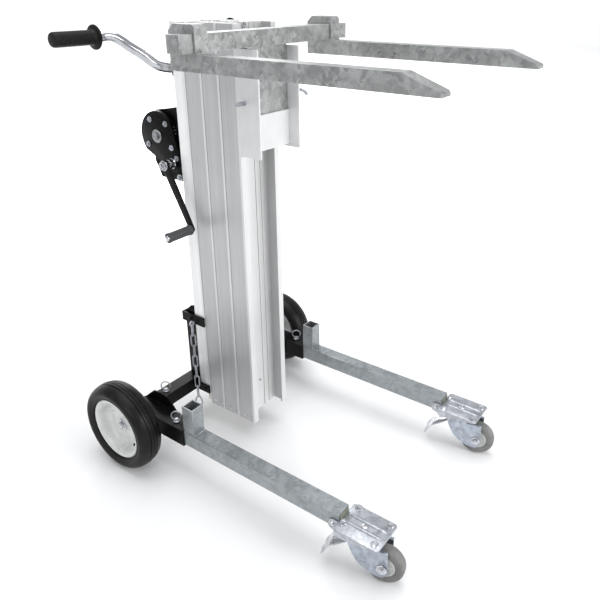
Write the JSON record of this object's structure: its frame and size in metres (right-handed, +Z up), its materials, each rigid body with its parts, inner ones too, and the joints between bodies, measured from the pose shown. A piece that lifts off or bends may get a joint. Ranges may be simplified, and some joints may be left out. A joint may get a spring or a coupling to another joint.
{
  "type": "material lift",
  "caption": "Compact hand-winch material lift: telescoping aluminium mast, sliding forks on a carriage, straddle legs with casters and large rear wheels.",
  "frame": {"origin": "centre of the footprint on the floor, under the wheels", "axes": "+Z up, forks point to -Y, the operator stands at +Y, the crank is on the -X side"},
  "size_m": [0.738, 0.969, 1.164],
  "materials": {
    "anodised_aluminium": "satin",
    "cast_aluminium": "satin",
    "galvanised_steel": "galvanised, mottled",
    "zinc_plated_steel": "bright zinc plate",
    "chrome_tube": "polished",
    "black_paint": "gloss black",
    "black_rubber": "moulded rubber",
    "grip_rubber": "moulded rubber",
    "grey_tread": "grey tread",
    "rim_paint": "light grey paint",
    "steel": "machined",
    "black_plastic": "moulded plastic",
    "nylon": "natural nylon"
  },
  "bodies": {
    "root": {"axle_crossbeam": "black_paint", "rear_axle": "chrome_tube", "mast_post": "black_paint", "upper_mast_clamp": "black_paint", "lower_mast_clamp": "black_paint", "right_side_sleeve": "black_paint", "left_side_sleeve": "black_paint", "right_leg": "galvanised_steel", "left_leg": "galvanised_steel", "right_caster_bracket": "zinc_plated_steel", "left_caster_bracket": "zinc_plated_steel", "mast_section_1": "anodised_aluminium", "rear_sheave_bracket": "steel", "hoist_cable_winch": "steel", "hoist_cable_1": "steel", "handlebar": "chrome_tube", "handlebar_bracket": "black_paint", "right_grip": "grip_rubber", "left_grip": "grip_rubber", "winch_plate": "black_paint", "winch_drum_cover": "black_paint", "winch_gear_cover": "black_paint"},
    "right_leg_pin": {"right_leg_pin": "zinc_plated_steel"},
    "left_leg_pin": {"left_leg_pin": "zinc_plated_steel"},
    "right_axle_pin": {"right_axle_pin": "zinc_plated_steel"},
    "left_axle_pin": {"left_axle_pin": "zinc_plated_steel"},
    "right_wheel": {"right_tyre": "black_rubber", "right_rim": "rim_paint"},
    "left_wheel": {"left_tyre": "black_rubber", "left_rim": "rim_paint"},
    "right_swivel": {"right_caster_fork": "zinc_plated_steel"},
    "left_swivel": {"left_caster_fork": "zinc_plated_steel"},
    "right_caster_wheel": {"right_caster_wheel": "grey_tread"},
    "left_caster_wheel": {"left_caster_wheel": "grey_tread"},
    "right_pedal": {"right_brake_pedal": "steel"},
    "left_pedal": {"left_brake_pedal": "steel"},
    "chain": {"safety_chain": "zinc_plated_steel"},
    "section_2": {"mast_section_2": "anodised_aluminium", "slide_shoe_2": "nylon", "hoist_cable_2": "steel"},
    "section_3": {"mast_section_3": "anodised_aluminium", "slide_shoe_3": "nylon", "hoist_cable_3": "steel"},
    "section_4": {"mast_section_4": "anodised_aluminium", "slide_shoe_4": "nylon", "hoist_cable_4": "steel"},
    "carriage": {"carriage": "cast_aluminium", "carriage_slide_shoe": "nylon", "fork_frame": "galvanised_steel"},
    "lock_pin": {"frame_lock_pin": "zinc_plated_steel"},
    "right_fork": {"right_fork": "galvanised_steel"},
    "left_fork": {"left_fork": "galvanised_steel"},
    "sheave_1": {"top_sheave_1": "steel"},
    "sheave_2": {"top_sheave_2": "steel"},
    "sheave_3": {"top_sheave_3": "steel"},
    "sheave_4": {"top_sheave_4": "steel"},
    "drum": {"cable_drum": "steel"},
    "crank": {"crank_shaft": "chrome_tube", "crank_arm": "black_paint"},
    "crank_grip": {"crank_grip": "black_plastic"}
  },
  "joints": [
    {"name": "mast_lift", "type": "slide", "parent": "root", "child": "section_2", "axis": [0, 0, 1], "range_m": [0, 0.87], "deforming": ["hoist_cable_1"]},
    {"name": "section_3_lift", "type": "slide", "parent": "section_2", "child": "section_3", "axis": [0, 0, 1], "range_m": [0, 0.87], "deforming": ["hoist_cable_2"]},
    {"name": "section_4_lift", "type": "slide", "parent": "section_3", "child": "section_4", "axis": [0, 0, 1], "range_m": [0, 0.87], "deforming": ["hoist_cable_3"]},
    {"name": "carriage_slide", "type": "slide", "parent": "section_4", "child": "carriage", "axis": [0, 0, 1], "range_m": [-0.765, 0], "deforming": ["hoist_cable_4"]},
    {"name": "right_fork_slide", "type": "slide", "parent": "carriage", "child": "right_fork", "axis": [-1, 0, 0], "range_m": [-0.14, 0.033]},
    {"name": "left_fork_slide", "type": "slide", "parent": "carriage", "child": "left_fork", "axis": [1, 0, 0], "range_m": [-0.14, 0.033]},
    {"name": "lock_pin_pull", "type": "slide", "parent": "carriage", "child": "lock_pin", "axis": [1, 0, 0], "range_m": [0, 0.186]},
    {"name": "right_wheel_spin", "type": "hinge", "parent": "root", "child": "right_wheel", "pos_m": [-0.333, 0.3545, 0.125], "axis": [1, 0, 0], "continuous": true},
    {"name": "right_caster_swivel", "type": "hinge", "parent": "root", "child": "right_swivel", "pos_m": [-0.26, -0.3785, 0.118], "axis": [0, 0, 1], "continuous": true},
    {"name": "right_caster_roll", "type": "hinge", "parent": "right_swivel", "child": "right_caster_wheel", "pos_m": [-0.25002, -0.42545, 0.0485], "axis": [0.9781, 0.2079, 0], "continuous": true},
    {"name": "right_brake_pedal_tilt", "type": "hinge", "parent": "right_swivel", "child": "right_pedal", "pos_m": [-0.26166, -0.37067, 0.096], "axis": [0.9781, 0.2079, 0], "range_deg": [-14, 0]},
    {"name": "right_leg_pin_pull", "type": "slide", "parent": "root", "child": "right_leg_pin", "axis": [0, 0, 1], "range_m": [0, 0.062]},
    {"name": "right_axle_pin_pull", "type": "slide", "parent": "root", "child": "right_axle_pin", "axis": [0, 0, 1], "range_m": [0, 0.035]},
    {"name": "left_wheel_spin", "type": "hinge", "parent": "root", "child": "left_wheel", "pos_m": [0.333, 0.3545, 0.125], "axis": [1, 0, 0], "continuous": true},
    {"name": "left_caster_swivel", "type": "hinge", "parent": "root", "child": "left_swivel", "pos_m": [0.26, -0.3785, 0.118], "axis": [0, 0, 1], "continuous": true},
    {"name": "left_caster_roll", "type": "hinge", "parent": "left_swivel", "child": "left_caster_wheel", "pos_m": [0.26998, -0.42545, 0.0485], "axis": [0.9781, 0.2079, 0], "continuous": true},
    {"name": "left_brake_pedal_tilt", "type": "hinge", "parent": "left_swivel", "child": "left_pedal", "pos_m": [0.25834, -0.37067, 0.096], "axis": [0.9781, 0.2079, 0], "range_deg": [-14, 0]},
    {"name": "left_leg_pin_pull", "type": "slide", "parent": "root", "child": "left_leg_pin", "axis": [0, 0, 1], "range_m": [0, 0.062]},
    {"name": "left_axle_pin_pull", "type": "slide", "parent": "root", "child": "left_axle_pin", "axis": [0, 0, 1], "range_m": [0, 0.035]},
    {"name": "chain_swing", "type": "hinge", "parent": "root", "child": "chain", "pos_m": [-0.088, 0.322, 0.33], "axis": [1, 0, 0], "range_deg": [-70, 1]},
    {"name": "drum_spin", "type": "hinge", "parent": "root", "child": "drum", "pos_m": [0, 0.4185, 0.864], "axis": [1, 0, 0], "range_deg": [0, 4681]},
    {"name": "crank_spin", "type": "hinge", "parent": "root", "child": "crank", "pos_m": [-0.095, 0.3615, 0.799], "axis": [1, 0, 0], "range_deg": [-12114, 0]},
    {"name": "crank_grip_spin", "type": "hinge", "parent": "crank", "child": "crank_grip", "pos_m": [-0.14, 0.2795, 0.639], "axis": [1, 0, 0], "continuous": true},
    {"name": "sheave_1_spin", "type": "hinge", "parent": "root", "child": "sheave_1", "pos_m": [0, 0.3365, 1.118], "axis": [1, 0, 0], "range_deg": [-4921, 0]},
    {"name": "sheave_2_spin", "type": "hinge", "parent": "section_2", "child": "sheave_2", "pos_m": [0, 0.2735, 1.132], "axis": [1, 0, 0], "range_deg": [-6925, 0]},
    {"name": "sheave_3_spin", "type": "hinge", "parent": "section_3", "child": "sheave_3", "pos_m": [0, 0.216, 1.132], "axis": [1, 0, 0], "range_deg": [-3463, 0]},
    {"name": "sheave_4_spin", "type": "hinge", "parent": "section_4", "child": "sheave_4", "pos_m": [0, 0.1585, 1.132], "axis": [1, 0, 0], "range_deg": [0, 3045]}
  ],
  "couplings": [
    {"joint": "section_3_lift", "follows": "mast_lift", "ratio": 1},
    {"joint": "section_4_lift", "follows": "mast_lift", "ratio": 1},
    {"joint": "drum_spin", "follows": "mast_lift", "rad_per_m": 93.887},
    {"joint": "crank_spin", "follows": "mast_lift", "rad_per_m": -243},
    {"joint": "sheave_1_spin", "follows": "mast_lift", "rad_per_m": -98.684},
    {"joint": "sheave_2_spin", "follows": "mast_lift", "rad_per_m": -138.89},
    {"joint": "sheave_3_spin", "follows": "mast_lift", "rad_per_m": -69.444},
    {"joint": "sheave_4_spin", "follows": "carriage_slide", "rad_per_m": -69.444}
  ]
}
